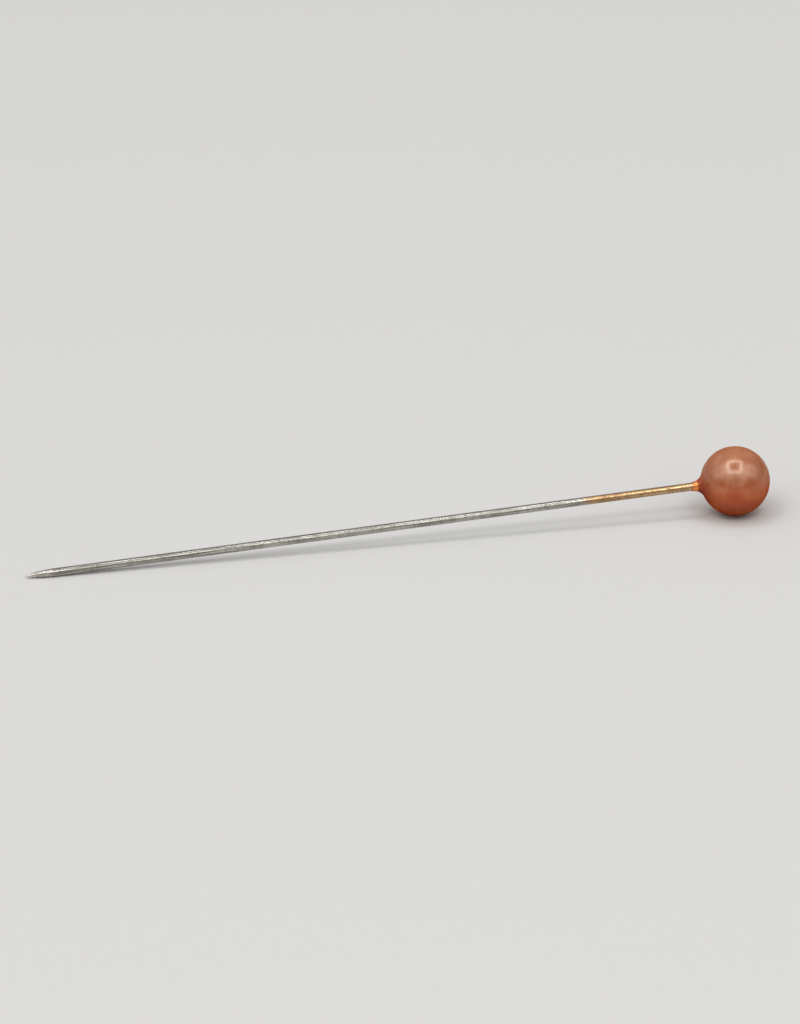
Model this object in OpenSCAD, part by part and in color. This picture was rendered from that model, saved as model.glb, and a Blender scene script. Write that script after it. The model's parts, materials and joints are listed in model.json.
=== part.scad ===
// Pearl-headed pin: a round pearl bead, whose coat runs out in a short neck, on a
// straight steel wire with a ground point.
// The pin lies on the plane Z = 0 as it would come to rest: the bead and the shoulder of
// the point both touch the plane. The bead is at +X and the point at -X, and the origin
// is on the plane, below the middle of the pin.

/* [Overall] */
// Length over all, from the crown of the bead to the end of the point
pin_length = 65; // [40:0.5:80]

/* [Bead] */
// Diameter of the bead over its coat
bead_d = 6; // [4:0.1:10]
// Length of the neck, measured past the bead's own round
neck_length = 0.8; // [0.3:0.05:1.5]
// Thickness of the coat at the lip, where the neck ends on the wire
lip_thickness = 0.04; // [0.02:0.01:0.15]
// Bead left between the end of the wire and the crown
crown_wall = 1.8; // [0.8:0.1:2.5]

/* [Wire] */
// Diameter of the wire
wire_d = 0.7; // [0.5:0.05:1]
// Room for the bond, all round the wire in its bore
bond_gap = 0.01; // [0:0.005:0.03]

/* [Point] */
// Length of the ground point
point_length = 2.4; // [1:0.1:5]
// Radius of the rounded end of the point
tip_r = 0.06; // [0.02:0.01:0.1]

/* [Hidden] */
$fn = 96;

// Steps along each arc of the two sections
bead_steps = 48;
neck_steps = 12;
grind_steps = 12;
tip_steps = 6;

// Each section is drawn as radius and height, with the bead's centre at the origin and
// the crown up. Depths are counted down from the bead's centre.
bead_r = bead_d / 2;
wire_r = wire_d / 2;
bore_r = wire_r + bond_gap;
seat_height = bead_r - crown_wall;

// The neck's hollow curve touches the bead's round and ends along the wire at the lip
lip_r = bore_r + lip_thickness;
lip_depth = bead_r + neck_length;
neck_r = (lip_depth ^ 2 + lip_r ^ 2 - bead_r ^ 2) / (2 * (bead_r - lip_r));
neck_x = lip_r + neck_r;
neck_turn = atan2(lip_depth, neck_x);

// The ground curve starts along the wire and ends touching the round of the tip
tip_depth = pin_length - bead_r - tip_r;
point_depth = pin_length - bead_r - point_length;
grind_r = ((tip_depth - point_depth) ^ 2 / (wire_r - tip_r) + wire_r + tip_r) / 2;
grind_x = wire_r - grind_r;
grind_turn = atan2(tip_depth - point_depth, -grind_x);

// At rest one line touches the bead and the ground curve from below, which sets the tilt
rest_tilt = atan2(-grind_x, point_depth)
    - asin((grind_r - bead_r) / norm([point_depth, grind_x]));
bead_x = (tip_depth * cos(rest_tilt) + tip_r - bead_r) / 2;

// Points along an arc about [x, y], without its first point, which ends the line before
function arc(x, y, r, from, to, steps) = [
    for (i = [1:steps])
        let (turn = from + (to - from) * i / steps)
        [x + r * cos(turn), y + r * sin(turn)]
];

// Turns a section about the wire's axis and lays the result down at rest
module turned_at_rest(section) {
    translate([bead_x, 0, bead_r])
        rotate([0, 90 - rest_tilt, 0])
            rotate_extrude()
                polygon(section);
}

// The bead and its neck, moulded and coated as one, with a blind bore for the wire
module head() {
    section = concat(
        [[0, bead_r]],
        arc(0, 0, bead_r, 90, -neck_turn, bead_steps),
        arc(neck_x, -lip_depth, neck_r, 180 - neck_turn, 180, neck_steps),
        [[bore_r, -lip_depth], [bore_r, seat_height], [0, seat_height]]
    );
    color([0.65, 0.36, 0.25])
        turned_at_rest(section);
}

// The wire, cut square at the end in the bead and ground to a point at the other
module shaft() {
    section = concat(
        [[0, seat_height], [wire_r, seat_height], [wire_r, -point_depth]],
        arc(grind_x, -point_depth, grind_r, 0, -grind_turn, grind_steps),
        arc(0, -tip_depth, tip_r, -grind_turn, -90, tip_steps)
    );
    color([0.76, 0.74, 0.68])
        turned_at_rest(section);
}

head();
shaft();
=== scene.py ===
# %% [markdown]
# # A pearl-headed pin
# The real pin is two things: a hard drawn wire with a ground point, and a bead that is
# fixed on its other end and dipped in pearl lacquer. The frame gives both at their true
# size. These cells remake their skins finely enough to carry the small faults that a metal
# or a lacquer shows in the light, and then give each one its finish.

# %% Load the frame
import json
import math

import bmesh
import bpy
from mathutils import Euler, Matrix, Vector, noise


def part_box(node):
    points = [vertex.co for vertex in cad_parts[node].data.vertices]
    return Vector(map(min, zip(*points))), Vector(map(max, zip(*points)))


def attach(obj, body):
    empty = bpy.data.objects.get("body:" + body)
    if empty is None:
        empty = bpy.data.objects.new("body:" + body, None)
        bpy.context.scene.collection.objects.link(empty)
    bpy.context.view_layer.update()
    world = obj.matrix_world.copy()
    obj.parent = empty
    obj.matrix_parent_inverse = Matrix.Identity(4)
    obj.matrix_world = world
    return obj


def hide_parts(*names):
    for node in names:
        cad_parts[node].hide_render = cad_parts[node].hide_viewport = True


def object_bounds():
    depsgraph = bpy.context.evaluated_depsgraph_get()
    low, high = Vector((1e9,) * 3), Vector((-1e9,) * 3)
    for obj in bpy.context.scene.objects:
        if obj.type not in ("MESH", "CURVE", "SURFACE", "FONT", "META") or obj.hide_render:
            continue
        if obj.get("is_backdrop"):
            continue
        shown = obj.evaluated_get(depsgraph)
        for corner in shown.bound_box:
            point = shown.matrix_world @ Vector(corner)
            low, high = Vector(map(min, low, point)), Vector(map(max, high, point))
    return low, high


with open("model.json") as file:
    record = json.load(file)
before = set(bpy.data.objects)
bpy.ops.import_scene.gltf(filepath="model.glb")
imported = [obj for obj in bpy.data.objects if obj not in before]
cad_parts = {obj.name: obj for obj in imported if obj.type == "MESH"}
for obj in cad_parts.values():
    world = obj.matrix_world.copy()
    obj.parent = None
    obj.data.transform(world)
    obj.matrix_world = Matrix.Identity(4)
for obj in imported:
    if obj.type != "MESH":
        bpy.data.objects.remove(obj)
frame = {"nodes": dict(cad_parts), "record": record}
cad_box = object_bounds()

MM = 0.001
print("pieces in the frame:", sorted(frame["nodes"]))
print("box in mm:", [round(v / MM, 3) for corner in cad_box for v in corner])

# %% [markdown]
# ## The pin's own axis
# The pin rests on its bead and on the shoulder of its point, so its axis leans a little.
# It is far easier to draw a turned part upright, so every piece is drawn about its own
# axis, with the bead's centre at the origin and its crown up, in millimetres. One matrix
# then lays a finished mesh down where the frame has it.

# %% Find the axis and the matrix that lays a piece down
wire_mount = frame["record"]["mounts"][0]
crownwards = -Vector(wire_mount["axis"]).normalized()
head_low, head_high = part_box("head")
frame_bead_r = (head_high.y - head_low.y) / 2
bead_centre = Vector((head_high.x - frame_bead_r, 0, head_low.z + frame_bead_r))
turn = Euler((0, math.atan2(crownwards.x, crownwards.z), 0))
lay_down = Matrix.Translation(bead_centre) @ turn.to_matrix().to_4x4() @ Matrix.Scale(MM, 4)
stand_up = lay_down.inverted()
print("bead centre in mm:", [round(v / MM, 3) for v in bead_centre])
print("lean in degrees:", round(90 - math.degrees(turn.y), 3))

# %% [markdown]
# ## Sizes read off the frame
# Each size is measured on the frame's own meshes, stood upright, so nothing here has to be
# kept in step by hand. Only the rounding of the very tip is too small to measure well. The
# new skins stay a hair inside the frame's, which leaves room for their small faults.

# %% Measure the two pieces
SAME_HEIGHT = 0.02
TIP_R = 0.06
HAIR_INSIDE = 0.004


def upright(node):
    """Gives a frame piece's points as (radius, height) in millimetres on the pin's axis."""
    points = [stand_up @ v.co for v in frame["nodes"][node].data.vertices]
    return [(math.hypot(p.x, p.y), p.z) for p in points]


head_points = upright("head")
wire_points = upright("shaft")
lip_z = min(z for r, z in head_points)
lip_radii = [r for r, z in head_points if z < lip_z + SAME_HEIGHT]
bore_r, lip_r = min(lip_radii), max(lip_radii)
bead_r = frame_bead_r / MM - HAIR_INSIDE
seat_z = max(z for r, z in wire_points)
tip_z = min(z for r, z in wire_points)
wire_r = wire_mount["dims"]["r_mm"]
point_z = lip_z - wire_mount["dims"]["length_mm"]
print(f"bead {2 * bead_r:.3f}, wire {2 * wire_r:.3f}, lip at {lip_z:.3f}, seat at {seat_z:.3f}")
print(f"lip radius {lip_r:.3f}, bore radius {bore_r:.3f}")
print(f"point starts at {point_z:.3f} and ends at {tip_z:.3f}")

# %% [markdown]
# ## Camera
# The pin is seen from its left and a little above, through a long lens, so the near and
# far ends keep nearly one scale. The view is turned to the pin's own length: the head is
# then up on the right and a little further away than the point.

# %% Set the camera
VIEW_AZIMUTH = math.radians(-12.4)
VIEW_ELEVATION = math.radians(25)
VIEW_DISTANCE = 0.75
PIN_SHARE_OF_WIDTH = 0.93
IMAGE_W, IMAGE_H = 800, 1024
NEAREST_SEEN = 0.01


def direction(azimuth, elevation):
    """Points from the pin to something that stands round it; azimuth 0 is on the -Y side."""
    level = Vector((math.sin(azimuth), -math.cos(azimuth), 0))
    return level * math.cos(elevation) + Vector((0, 0, math.sin(elevation)))


cad_low, cad_high = cad_box
pin_centre = (cad_low + cad_high) / 2
to_camera = direction(VIEW_AZIMUTH, VIEW_ELEVATION)
camera_data = bpy.data.cameras.new("camera")
camera = bpy.data.objects.new("camera", camera_data)
bpy.context.scene.collection.objects.link(camera)
bpy.context.scene.camera = camera
camera.location = pin_centre + to_camera * VIEW_DISTANCE
camera.rotation_euler = to_camera.to_track_quat("Z", "Y").to_euler()
shown_length = (cad_high.x - cad_low.x) * math.cos(VIEW_AZIMUTH)
field_height = shown_length / PIN_SHARE_OF_WIDTH * IMAGE_H / IMAGE_W
camera_data.lens = camera_data.sensor_width * VIEW_DISTANCE / field_height
camera_data.clip_start = NEAREST_SEEN
print(f"lens {camera_data.lens:.0f} mm, field {field_height / MM:.1f} mm high")

# %% [markdown]
# ## The key light
# A pearl shows its light as a picture, so the light's shape matters. The key light is a
# square frame of four strip lamps high above the camera: its picture on the bead is a
# small bright square with a darker middle. A single square lamp would be quicker to hang,
# but it would show as one flat white patch.

# %% Hang the key light
KEY_DISTANCE = 0.5
KEY_ELEVATION = math.radians(74.5)
KEY_OUTER = math.radians(22.8)
KEY_INNER = math.radians(16.8)
KEY_GLOW = 4.1
camera_right = Vector((math.cos(VIEW_AZIMUTH), math.sin(VIEW_AZIMUTH), 0))
key_facing = direction(VIEW_AZIMUTH, KEY_ELEVATION)
key_up = key_facing.cross(camera_right).normalized()
key_axes = Matrix((camera_right, key_up, key_facing)).transposed().to_4x4()
outer = KEY_DISTANCE * math.tan(KEY_OUTER)
inner = KEY_DISTANCE * math.tan(KEY_INNER)
bar = outer - inner
middle = (outer + inner) / 2


def strip_lamp(name, shift, width, depth):
    """Hangs one strip of the key light; a glow of 1 would look plain white."""
    data = bpy.data.lights.new(name, "AREA")
    data.shape = "RECTANGLE"
    data.size, data.size_y = width, depth
    data.energy = math.pi * KEY_GLOW * width * depth
    lamp = bpy.data.objects.new(name, data)
    place = pin_centre + key_facing * KEY_DISTANCE + shift
    lamp.matrix_world = Matrix.Translation(place) @ key_axes
    bpy.context.scene.collection.objects.link(lamp)
    print(f"{name}: {width / MM:.0f} by {depth / MM:.0f} mm, {data.energy:.2f} W")


strip_lamp("key_back", key_up * middle, 2 * outer, bar)
strip_lamp("key_front", -key_up * middle, 2 * outer, bar)
strip_lamp("key_left", -camera_right * middle, bar, 2 * inner)
strip_lamp("key_right", camera_right * middle, bar, 2 * inner)


# %% [markdown]
# ## Writing finishes as sums
# A finish is a net of small sums over the surface. Wrapping one socket in a class with
# Python's own operators lets each sum be read as a line of arithmetic: `1 - mask` adds the
# Math node for us. Without it each sum would take four lines of nodes and links.

# %% A field is one value that can be summed
class Field:
    """A value that changes over the surface: one output socket, ready for sums."""

    def __init__(self, net, socket):
        self.net = net
        self.socket = socket

    def sum(self, operation, a, b):
        return self.net.add("ShaderNodeMath", {"operation": operation}, {0: a, 1: b})

    def __add__(self, other):
        return self.sum("ADD", self, other)

    def __sub__(self, other):
        return self.sum("SUBTRACT", self, other)

    def __rsub__(self, other):
        return self.sum("SUBTRACT", other, self)

    def __mul__(self, other):
        return self.sum("MULTIPLY", self, other)

    def __truediv__(self, other):
        return self.sum("DIVIDE", self, other)

    __radd__ = __add__
    __rmul__ = __mul__


print("a field is:", Field.__doc__)


# %% [markdown]
# Every other node comes from one method of the net: it adds the node, sets what the node
# is told to be, and then fills each socket with a plain value or links it to a field. The
# studio's world is shaded with a net as well, and is the first to need one.

# %% A net is all the nodes behind a finish
class Net:
    """The nodes behind one material, or behind the world."""

    def __init__(self, owner):
        self.owner = owner
        self.owner.use_nodes = True
        self.tree = self.owner.node_tree
        self.tree.nodes.clear()

    def add(self, kind, settings=None, inputs=None, output=0):
        """Adds a node, sets it, then fills its sockets with values or links them."""
        node = self.tree.nodes.new(kind)
        for name, value in (settings or {}).items():
            setattr(node, name, value)
        for key, value in (inputs or {}).items():
            if isinstance(value, Field):
                self.tree.links.new(value.socket, node.inputs[key])
            else:
                node.inputs[key].default_value = value
        return Field(self, node.outputs[output]) if node.outputs else None

    def close(self, kind, surface):
        """Ends the net in an output node, so that what owns the net shows the surface."""
        self.add(kind, None, {"Surface": surface})
        print(self.owner.name, "has", len(self.tree.nodes), "nodes")


studio = Net(bpy.data.worlds.new("studio"))
look_up = studio.add("ShaderNodeTexCoord", output="Generated")
print("first field of the studio:", look_up.socket.name)

# %% [markdown]
# ## The soft glow
# The rest of the light is one large soft glow over the camera, with a paler place on its
# left and on its right, and weaker ones behind the pin. It has no edges to show, so it is
# painted straight onto the world as smooth steps of the angle from a direction. The camera
# itself and the middle of the key light stand dark in front of it, as they do in a real
# studio: the bead shows both.

# %% Paint the soft glow onto the world
WORLD_GREY = 0.08
# Each patch: turn from the camera's side, elevation, full within, gone beyond, strength
GLOWS = (
    (0, 54, 28, 60, 1.05),
    (-78, 39, 5, 32, 0.85),
    (78, 39, 5, 32, 0.85),
    (180, 55, 12, 52, 0.42),
    (-128, 14, 6, 36, 0.5),
    (128, 14, 6, 34, 0.12),
)
SHADES = ((0, 25, 12, 21, 0.97), (0, 74.5, 8, 20, 0.9))


def rise(value, low, high):
    """Gives 0 below low and 1 above high, with a smooth step between them."""
    inputs = {"Value": value, "From Min": low, "From Max": high}
    return value.net.add("ShaderNodeMapRange", {"interpolation_type": "SMOOTHSTEP"}, inputs)


def patch_of_sky(side, elevation, core, edge, strength):
    """Gives the strength round one direction, and 0 away from it, with a soft edge."""
    toward = direction(VIEW_AZIMUTH + math.radians(side), math.radians(elevation))
    settings = {"operation": "DOT_PRODUCT"}
    facing = studio.add("ShaderNodeVectorMath", settings, {0: look_up, 1: toward}, "Value")
    low, high = math.cos(math.radians(edge)), math.cos(math.radians(core))
    return rise(facing, low, high) * strength


sky = sum((patch_of_sky(*patch) for patch in GLOWS), WORLD_GREY)
for patch in SHADES:
    sky = sky * (1 - patch_of_sky(*patch))
background = studio.add("ShaderNodeBackground", None, {"Color": sky})
studio.close("ShaderNodeOutputWorld", background)
bpy.context.scene.world = studio.owner
bpy.context.scene.view_settings.view_transform = "Standard"

# %% [markdown]
# ## Drawing a turned part
# Both pieces are turned about the wire's axis. A section is walked out as one line of
# points: straight runs are an extruded point, round runs are a spun one, so each arc is
# true and meets the next without a corner. A full spin of that line closes the skin.

# %% The strokes that draw a section
MERGE_WITHIN = 1e-5


def start(bm, x, z):
    """Starts a section at one point."""
    return bmesh.ops.create_vert(bm, co=(x, 0, z))["vert"][0]


def line_to(bm, point, x, z, parts=1):
    """Runs straight to a point, in equal parts."""
    first, last = point.co.copy(), Vector((x, 0, z))
    for i in range(parts):
        point = bmesh.ops.extrude_vert_indiv(bm, verts=[point])["verts"][0]
        point.co = first.lerp(last, (i + 1) / parts)
    return point


def arc_to(bm, point, x, z, angle, parts):
    """Runs round a centre; a positive angle turns from the crown outwards."""
    arc = bmesh.ops.spin(
        bm, geom=[point], cent=(x, 0, z), axis=(0, 1, 0), angle=angle, steps=parts,
        use_merge=False,
    )
    return next(v for v in arc["geom_last"] if isinstance(v, bmesh.types.BMVert))


def revolve(bm, sides):
    """Turns the whole section about the axis into a closed skin that faces outwards."""
    bmesh.ops.spin(
        bm, geom=bm.verts[:] + bm.edges[:], cent=(0, 0, 0), axis=(0, 0, 1), angle=math.tau,
        steps=sides, use_merge=True,
    )
    bmesh.ops.remove_doubles(bm, verts=bm.verts, dist=MERGE_WITHIN)
    bmesh.ops.recalc_face_normals(bm, faces=bm.faces)


print("a section is drawn with", [f.__name__ for f in (start, line_to, arc_to, revolve)])

# %% [markdown]
# ## The bead's skin
# The lacquer follows the bead and then runs out along the wire, because the pin is dipped
# head down and its coat creeps up the wire before it sets. So the neck is a hollow curve
# that leaves the bead without a corner. Its radius follows from the rest: it has to touch
# the bead's round and to end along the wire.

# %% Draw the bead and its neck
HEAD_SIDES = 160
BEAD_STEPS, NECK_STEPS, LIP_STEPS, BORE_STEPS = 96, 28, 6, 10
lip_depth = -lip_z
neck_r = (lip_depth ** 2 + lip_r ** 2 - bead_r ** 2) / (2 * (bead_r - lip_r))
neck_x = lip_r + neck_r
neck_turn = math.atan2(lip_depth, neck_x)
head_bm = bmesh.new()
tracer = start(head_bm, 0, bead_r)
tracer = arc_to(head_bm, tracer, 0, 0, math.pi / 2 + neck_turn, BEAD_STEPS)
tracer = arc_to(head_bm, tracer, neck_x, lip_z, -neck_turn, NECK_STEPS)
tracer = arc_to(head_bm, tracer, (lip_r + bore_r) / 2, lip_z, math.pi, LIP_STEPS)
tracer = line_to(head_bm, tracer, bore_r, seat_z, BORE_STEPS)
tracer = line_to(head_bm, tracer, 0, seat_z)
revolve(head_bm, HEAD_SIDES)
touch = math.degrees(neck_turn)
print(f"neck radius {neck_r:.3f} mm, touches the bead {touch:.1f} degrees below its middle")

# %% [markdown]
# A dipped coat is never quite even. Its skin swells and sinks by a few thousandths of a
# millimetre, which is what makes the edges of a reflection waver, and its lip runs further
# along the wire on one side. Both are moves of the points by smooth noise, which is the
# same on every run.

# %% Make the coat uneven
# Lengths in mm; the lip runs further along from the height LIP_FROM downwards
SWELL_DEPTH, SWELL_CELL = 0.0035, 0.95
LIP_SLANT, LIP_WAVE = 0.1, 0.06
LIP_WAVES_ROUND = 1.3
LIP_FROM = -3.15


def swell(point, cell):
    """Gives smooth noise from 0 to 1 with patches about one cell across."""
    return 0.5 + 0.5 * noise.noise(point / cell)


for v in head_bm.verts:
    radius = math.hypot(v.co.x, v.co.y)
    if radius > bore_r + SAME_HEIGHT or v.co.z > seat_z + SAME_HEIGHT:
        v.co -= v.co.normalized() * SWELL_DEPTH * swell(v.co, SWELL_CELL)
    if v.co.z < LIP_FROM:
        along = (LIP_FROM - v.co.z) / (LIP_FROM - lip_z)
        angle = math.atan2(v.co.y, v.co.x)
        ring = Vector((math.cos(angle), math.sin(angle), 0))
        wave = noise.noise(ring * LIP_WAVES_ROUND)
        v.co.z -= along ** 2 * (LIP_SLANT * ring.x + LIP_WAVE * wave)
print(f"the lip now reaches {min(v.co.z for v in head_bm.verts):.3f} mm")

# %% [markdown]
# ## A map of the bead
# Another program can show a finish only once it has been painted onto a picture, and a map
# says where on that picture each face lies. Patches cut to fit would leave slivers on a
# round bead, so its skin is unrolled whole: the angle about the axis runs across the map,
# and the way from the crown to the lip runs up it. The one seam is on the belly, next to
# the floor, and the bore has a strip of its own along the top edge.

# %% Unroll the bead's skin onto its map
# The exporter keeps a map that already has this name
MAP_NAME = "OFBake"
OUTSIDE_SHARE = 0.97
bead_map = head_bm.loops.layers.uv.new(MAP_NAME)
bore_run = seat_z - lip_z + bore_r


def angle_near(x, y, near):
    """Gives the angle of a point about the axis, counted on from one that is near it."""
    if math.hypot(x, y) < MERGE_WITHIN:
        return near
    return near + (math.atan2(y, x) - near + math.pi) % math.tau - math.pi


for face in head_bm.faces:
    mid = face.calc_center_median()
    turned = math.atan2(mid.y, mid.x) % math.tau
    in_bore = math.hypot(mid.x, mid.y) < bore_r and mid.z < seat_z + SAME_HEIGHT
    for corner in face.loops:
        x, y, z = corner.vert.co
        radius = math.hypot(x, y)
        if in_bore:
            run = (z - lip_z + bore_r - radius) / bore_run
            up = OUTSIDE_SHARE + (1 - OUTSIDE_SHARE) * run
        else:
            up = OUTSIDE_SHARE * math.atan2(radius, z) / math.pi
        corner[bead_map].uv = (angle_near(x, y, turned) / math.tau, up)
corners = [corner[bead_map].uv for face in head_bm.faces for corner in face.loops]
for way, name in enumerate(("across", "up")):
    places = [uv[way] for uv in corners]
    print(f"the map runs {name} from {min(places):.3f} to {max(places):.3f}")

# %% [markdown]
# ## Patterns over a piece
# The faults of a finish are soft patches of noise. They are read at the place on the pin,
# in millimetres and stood upright as the skins were drawn, so a pattern keeps to the pin
# from every side, and stretching it along the axis turns patches into lines or rings.
# These helpers are shared by the lacquer and the metal.

# %% The helpers for a pattern
MICRON = 1e-6


def place_on_pin(net):
    """Gives the place on the pin in millimetres: the crown is up, the bead's centre at 0."""
    place = net.add("ShaderNodeTexCoord", output="Object")
    inputs = {"Vector": place, "Location": bead_centre, "Rotation": turn, "Scale": (MM, MM, MM)}
    return net.add("ShaderNodeMapping", {"vector_type": "TEXTURE"}, inputs)


def part(vector, axis):
    """Gives one coordinate of a vector."""
    return vector.net.add("ShaderNodeSeparateXYZ", None, {0: vector}, axis)


def stretch(vector, x=1, y=1, z=1):
    """Scales a vector along each axis; less than 1 draws a pattern out."""
    settings = {"operation": "MULTIPLY"}
    return vector.net.add("ShaderNodeVectorMath", settings, {0: vector, 1: (x, y, z)})


def cloud(vector, scale, detail=2, roughness=0.6):
    """Gives soft random patches about 1 / scale mm across, from 0 to 1."""
    inputs = {"Vector": vector, "Scale": scale, "Detail": detail, "Roughness": roughness}
    return vector.net.add("ShaderNodeTexNoise", None, inputs)


def blend(share, first, second):
    """Mixes two colours: sockets 6 and 7 of the Mix node, and its output 2."""
    inputs = {0: share, 6: first, 7: second}
    return share.net.add("ShaderNodeMix", {"data_type": "RGBA"}, inputs, 2)


def relief(height):
    """Turns a height in thousandths of a millimetre into fine relief."""
    inputs = {"Height": height, "Distance": MICRON, "Strength": 1}
    return height.net.add("ShaderNodeBump", None, inputs)


def surface(net, **inputs):
    """Gives one surface; each name is that of a socket, with _ for its spaces."""
    named = {key.replace("_", " "): value for key, value in inputs.items()}
    return net.add("ShaderNodeBsdfPrincipled", None, named)


print("patterns are made with", [f.__name__ for f in (part, stretch, cloud, blend, relief)])

# %% [markdown]
# ## The pearl finish
# A pearl lacquer is a tinted binder full of mica flakes under a clear coat. It varies in
# clouds, some of them drawn out round the axis, because the bead turns as it dries. Light
# and shade are painted on it as the pin lies here: the top is paler and carries the flakes'
# sheen, and the underside, towards the floor, is painted in shade, redder and darker, with
# few flakes. The binder deepens again towards the neck. At the lip it is so thin
# that the bright wire shines through as orange. Each of those is one mask.

# %% Find the patterns of the pearl
# Each pair is where a mask starts and ends. Heights are in mm, the painted top light's from the floor
DRIFT = (0.36, 0.64)
PAINTED_TOP_LIGHT = (2.9, 5.1)
NECK = (-2.9, -1.7)
LIP = (-3.46, -3.2)
pearl = Net(bpy.data.materials.new("coral_pearl_lacquer"))
on_head = place_on_pin(pearl)
up_head = part(on_head, "Z")
clouds = cloud(on_head, scale=0.6, detail=3)
rings = cloud(stretch(on_head, x=0.9, y=0.9, z=1.6), scale=1.3, detail=3)
grain = cloud(on_head, scale=4, detail=3)
drift = rise(clouds * 0.6 + rings * 0.4, *DRIFT)
above_floor = part(pearl.add("ShaderNodeTexCoord", output="Object"), "Z") / MM
# Painted light and shade: 1 high on the bead and 0 near the floor, so the top is painted lit and the
# underside painted in shade
painted_top_light = rise(above_floor + clouds * 0.7 + grain * 0.4, *PAINTED_TOP_LIGHT)
near_neck = 1 - rise(up_head + clouds * 0.6, *NECK)
at_lip = 1 - rise(up_head + grain * 0.12, *LIP)
print("the pearl's patterns take", len(pearl.tree.nodes), "nodes")


# %% [markdown]
# A colour is picked as a screen shows it, but a shader counts light, so a helper turns
# the one into the other. The binder drifts between two tints, one pair for the top and a
# redder, darker pair for the underside, which is painted shade. Each mask then mixes in the
# tint of its own place, by no more than the share that stands beside it.

# %% Mix the colours of the pearl
def colour(red, green, blue):
    """Turns a colour as a screen shows it, from 0 to 255, into light for a shader."""
    parts = [c / 255 for c in (red, green, blue)]
    return [c / 12.92 if c <= 0.04045 else ((c + 0.055) / 1.055) ** 2.4 for c in parts] + [1]


CORAL_PALE, CORAL_DEEP = colour(188, 120, 85), colour(175, 100, 62)
# The belly pair is painted shade: the coral made darker and redder for the underside
SHADED_BELLY_PALE, SHADED_BELLY_DEEP = colour(214, 100, 32), colour(198, 76, 18)
NECK_RED = colour(150, 58, 30)
LIP_ORANGE = colour(246, 146, 72)
# Painted light and shade: the coral is the lit copy for the top, the belly pair a darker, redder copy
# for the underside
lit_upper_tint = blend(drift, CORAL_DEEP, CORAL_PALE)
shaded_belly_tint = blend(drift, SHADED_BELLY_DEEP, SHADED_BELLY_PALE)
binder_tint = blend(painted_top_light, shaded_belly_tint, lit_upper_tint)
binder_tint = blend(near_neck * 0.85, binder_tint, NECK_RED)
binder_tint = blend(at_lip, binder_tint, LIP_ORANGE)
print("coral goes from", *([round(v, 2) for v in c[:3]] for c in (CORAL_DEEP, CORAL_PALE)))

# %% [markdown]
# The binder alone would look like a plain gloss paint. The flakes act like a blurred
# mirror of their own beige, so they are a second, metallic surface, mixed in at a small
# share. Both lie under one clear coat. It is thinner at the neck, and seen edge on the
# light has a long way to go through the binder, so the gloss dies away towards the rim.

# %% Make the pearl's surface
MICA = colour(248, 224, 194)
MICA_SHARE = 0.11
RIM, RIM_LOSS = (0.25, 0.7), 0.85
edge_on = pearl.add("ShaderNodeLayerWeight", None, {"Blend": 0.5}, "Facing")
open_face = 1 - rise(edge_on, *RIM) * RIM_LOSS
over_both = {
    "Normal": relief(clouds * 2 + grain),
    "Coat_Weight": open_face * (1 - near_neck * 0.6),
    "Coat_Roughness": 0.17,
    "Coat_IOR": 1.42,
}
binder = surface(
    pearl,
    Base_Color=binder_tint,
    Metallic=at_lip * 0.8,
    Roughness=0.45 - at_lip * 0.17,
    IOR=1.45,
    Specular_IOR_Level=0,
    **over_both,
)
flakes = surface(pearl, Base_Color=MICA, Metallic=1, Roughness=0.24, **over_both)
# Painted sheen: the flakes' share, and so their reflection, falls away towards the floor with the
# painted top light
flake_share = MICA_SHARE * (0.5 + drift * 0.3 + grain * 0.6) * (0.12 + painted_top_light * 0.88)
both = pearl.add("ShaderNodeMixShader", None, {0: flake_share, 1: binder, 2: flakes})
pearl.close("ShaderNodeOutputMaterial", both)

# %% [markdown]
# ## Laying a piece down
# A drawn skin is still upright and in millimetres. The matrix from the start lays it where
# the frame has its piece, the new piece then rides on the pin, and the frame's piece is
# hidden. Only edges that are really sharp, such as the wire's square end, stay unsmoothed.

# %% Lay the head down
SHARP_FROM = math.radians(40)


def make_piece(bm, name, node, material):
    """Lays a drawn skin down in place of a node of the frame, and hides that node."""
    open_edges = sum(1 for e in bm.edges if len(e.link_faces) != 2)
    print(f"{name}: {len(bm.faces)} faces, {open_edges} open edges, {bm.calc_volume():.2f} mm3")
    bm.transform(lay_down)
    mesh = bpy.data.meshes.new(name)
    bm.to_mesh(mesh)
    bm.free()
    mesh.shade_smooth()
    mesh.set_sharp_from_angle(angle=SHARP_FROM)
    mesh.materials.append(material)
    piece = bpy.data.objects.new(name, mesh)
    bpy.context.scene.collection.objects.link(piece)
    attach(piece, "root")
    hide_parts(node)


make_piece(head_bm, "pearl_head", "head", pearl.owner)

# %% [markdown]
# ## The wire's skin
# Hard wire is pulled through a die and its point is ground on a stone. The shaft is a
# straight run, cut into short steps so that it can carry small faults. The point is one
# long arc that leaves the shaft without a corner and ends in the rounded tip.

# %% Draw the wire and its point
WIRE_SIDES = 40
WIRE_STEP = 0.05
POINT_STEPS, TIP_STEPS = 72, 8
wire_bm = bmesh.new()
tip_depth = -(tip_z + TIP_R)
point_depth = -point_z
grind_r = ((tip_depth - point_depth) ** 2 / (wire_r - TIP_R) + wire_r + TIP_R) / 2
grind_turn = math.atan2(tip_depth - point_depth, grind_r - wire_r)
tracer = start(wire_bm, 0, seat_z)
tracer = line_to(wire_bm, tracer, wire_r, seat_z)
tracer = line_to(wire_bm, tracer, wire_r, point_z, round((seat_z - point_z) / WIRE_STEP))
tracer = arc_to(wire_bm, tracer, wire_r - grind_r, point_z, grind_turn, POINT_STEPS)
tracer = arc_to(wire_bm, tracer, 0, -tip_depth, math.pi / 2 - grind_turn, TIP_STEPS)
tracer.co.x = 0
revolve(wire_bm, WIRE_SIDES)
print(f"ground curve {grind_r:.2f} mm, turns {math.degrees(grind_turn):.1f} degrees to the tip")

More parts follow.
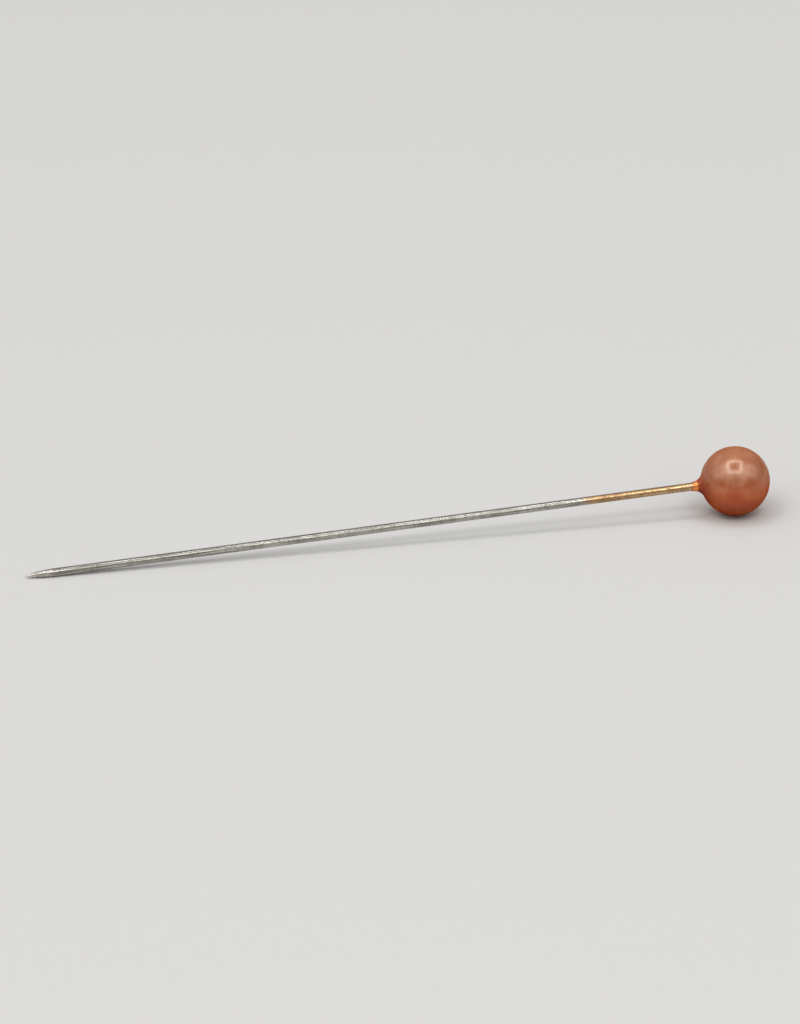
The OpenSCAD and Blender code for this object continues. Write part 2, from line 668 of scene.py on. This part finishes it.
# %% [markdown]
# Drawn wire is straight but not smooth: the die chatters, so the wire's face rises and
# falls every half millimetre or so, and a highlight along it breaks into dashes. Bumps in
# the finish alone wouldn't bend the edge of a highlight in the same way. The point is
# ground while the wire rolls across the stone, which leaves flats along the taper and
# slanting scratches round it.

# %% Let the die chatter and the stone scratch
# Each chatter: the length of a patch and how deep it goes, in mm
CHATTER = ((0.8, 0.004), (0.3, 0.0018))
GRIND_RUN_IN = 0.4
# A flat goes in by a share of the radius, and dies away towards the tip
FLATS, FLAT_SHARE, FLAT_TWIST = 7, 0.0075, 2
SCRATCH_PITCH, SCRATCH_DEPTH, SCRATCH_TWIST = 0.17, 0.0025, 2
MOST_SHRINK = 0.3
depths = []
for v in wire_bm.verts:
    radius = math.hypot(v.co.x, v.co.y)
    if radius < TIP_R / 2:
        continue
    angle = math.atan2(v.co.y, v.co.x)
    depth = sum(reach * swell(v.co, cell) for cell, reach in CHATTER)
    if v.co.z < point_z:
        run_in = min(1, (point_z - v.co.z) / GRIND_RUN_IN)
        flat = 0.5 + 0.5 * math.cos(FLATS * angle + FLAT_TWIST * v.co.z)
        slant = math.tau * v.co.z / SCRATCH_PITCH + SCRATCH_TWIST * angle
        scratch = 0.5 + 0.5 * math.sin(slant)
        flat_depth = FLAT_SHARE * flat * radius * radius / wire_r
        depth += run_in * (flat_depth + SCRATCH_DEPTH * scratch)
    shrink = 1 - min(depth / radius, MOST_SHRINK)
    v.co.x *= shrink
    v.co.y *= shrink
    depths.append(depth)
print(f"the wire's faults go {min(depths):.4f} to {max(depths):.4f} mm deep")

# %% [markdown]
# ## The plated finish
# The wire is bright nickel. Die lines run along it, so the noise that draws them is drawn
# out fifty times along the axis. The plating took better in some places than in others,
# so short slanting strokes and longer knots are darker and duller, and small pits go
# through it. Near the head the dip has left a golden film for about a centimetre, which
# ends raggedly. The ground point has slanting scratches that glitter, and its last
# millimetre is the freshest.

# %% Find the patterns of the plating
# Each pair is where a mask starts and ends
LINE = (0.38, 0.62)
DULL = (0.46, 0.62)
GLINT = (0.5, 0.6)
PITTED = (0.6, 0.74)
# These three are lengths in mm: from the lip, from the start of the point, from the tip
GOLD_ENDS = (10.4, 11.6)
GROUND_ENDS = (-0.25, 0.1)
FRESH_ENDS = (0.6, 1.5)
SLANT = math.radians(38)


def tilt(vector, angle):
    """Turns a vector, to lay a pattern aslant."""
    inputs = {"Vector": vector, "Rotation": (0, angle, 0)}
    return vector.net.add("ShaderNodeMapping", {"vector_type": "POINT"}, inputs)


plating = Net(bpy.data.materials.new("bright_plated_wire"))
on_wire = place_on_pin(plating)
up_wire = part(on_wire, "Z")
slanted = tilt(on_wire, SLANT)
lines = cloud(stretch(on_wire, z=0.02), scale=14)
knots = cloud(stretch(on_wire, x=0.5, y=0.5), scale=1.5)
strokes = cloud(stretch(slanted, z=0.35), scale=9)
scratches = cloud(stretch(slanted, x=0.8, z=0.1), scale=30)
specks = cloud(stretch(on_wire, z=0.7), scale=17, roughness=0.5)
from_lip = lip_z - up_wire
gold = 1 - rise(from_lip + knots * 2 + strokes, *GOLD_ENDS)
ground = 1 - rise(up_wire, *(point_z + end for end in GROUND_ENDS))
fresh = 1 - rise(up_wire + strokes * 0.6, *(tip_z + end for end in FRESH_ENDS))
line = rise(lines, *LINE)
dull = rise(knots * 0.4 + strokes * 0.6, *DULL)
glint = rise(scratches, *GLINT)
pit = rise(specks, *PITTED)
print("the plating's patterns take", len(plating.tree.nodes), "nodes")

# %% [markdown]
# The tints are mixed in the order in which the faults lie on the real wire: the die lines
# are in the metal, the dull places are in the plating, the golden film lies over both, and
# the grinding and the pits go through all of them. As on the bead, the number beside a
# mask is the most that it mixes in.

# %% Mix the colours of the plating
NICKEL, NICKEL_LINE = colour(196, 192, 184), colour(140, 136, 129)
NICKEL_DULL = colour(96, 92, 86)
GOLD, GOLD_LINE = colour(202, 174, 130), colour(154, 122, 84)
GOLD_DULL, GOLD_PINK = colour(118, 86, 60), colour(204, 152, 120)
PINK_STROKE = (0.42, 0.68)
GRIT = colour(240, 230, 220)
PIT = colour(72, 66, 60)
silver = blend(line, NICKEL, NICKEL_LINE)
silver = blend(dull * 0.4, silver, NICKEL_DULL)
golden = blend(line, GOLD, GOLD_LINE)
golden = blend(rise(strokes, *PINK_STROKE) * 0.6, golden, GOLD_PINK)
golden = blend(dull * 0.5, golden, GOLD_DULL)
metal_tint = blend(gold, silver, golden)
metal_tint = blend(ground * glint * 0.8, metal_tint, GRIT)
metal_tint = blend(fresh * 0.5, metal_tint, GRIT)
metal_tint = blend(pit * 0.5, metal_tint, PIT)
print("the metals in the light:", *([round(v, 2) for v in c[:3]] for c in (NICKEL, GOLD)))

# %% [markdown]
# A metal has only the colour of its mirror, so one metallic surface is enough. It is
# duller wherever the plating or the stone left it rough. The lines and scratches are far
# finer than the skin's faces and go in as relief, counted in thousandths of a millimetre.

# %% Make the metal's surface and lay the wire down
grooves = lines * 1.2 + strokes * 0.8 + ground * glint * 2.5 - pit * 2
metal = surface(
    plating,
    Base_Color=metal_tint,
    Metallic=1,
    Roughness=0.14 + line * 0.06 + dull * 0.14 + ground * (1 - glint) * 0.08 + fresh * 0.1,
    Normal=relief(grooves),
)
plating.close("ShaderNodeOutputMaterial", metal)
make_piece(wire_bm, "pin_wire", "shaft", plating.owner)

# %% [markdown]
# ## The floor
# The floor is the plane that the pin rests on, large enough that no view finds its edge
# near the pin. It is a plain, pale, dull sheet. The eye and the pin's gloss see it pale;
# to the soft light that it throws back up it counts as darker, as a sheet that stands
# on a dark table would, so the bead keeps its depth below.

# %% Lay the floor
FLOOR_HALF = 4.0
FLOOR_SEEN, FLOOR_FELT = colour(216, 215, 213), colour(150, 149, 147)
pale_sheet = Net(bpy.data.materials.new("pale_floor"))
is_felt = pale_sheet.add("ShaderNodeLightPath", output="Is Diffuse Ray")
floor_tint = blend(is_felt, FLOOR_SEEN, FLOOR_FELT)
matt = pale_sheet.add("ShaderNodeBsdfDiffuse", None, {"Color": floor_tint})
pale_sheet.close("ShaderNodeOutputMaterial", matt)
floor_bm = bmesh.new()
bmesh.ops.create_grid(floor_bm, x_segments=1, y_segments=1, size=FLOOR_HALF)
floor_mesh = bpy.data.meshes.new("floor")
floor_bm.to_mesh(floor_mesh)
floor_bm.free()
floor_mesh.materials.append(pale_sheet.owner)
floor = bpy.data.objects.new("floor", floor_mesh)
bpy.context.scene.collection.objects.link(floor)
floor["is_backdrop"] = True
print(f"the floor is {floor.dimensions.x:.0f} m wide")

# %% [markdown]
# ## The two boxes
# The new skins must stay inside the frame's box, so both boxes are printed side by side.

# %% Print the two boxes
made_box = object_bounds()
boxes = {"cad": [list(corner) for corner in cad_box], "visual": [list(corner) for corner in made_box]}
for name, box in boxes.items():
    print(name, [round(v / MM, 4) for corner in box for v in corner])
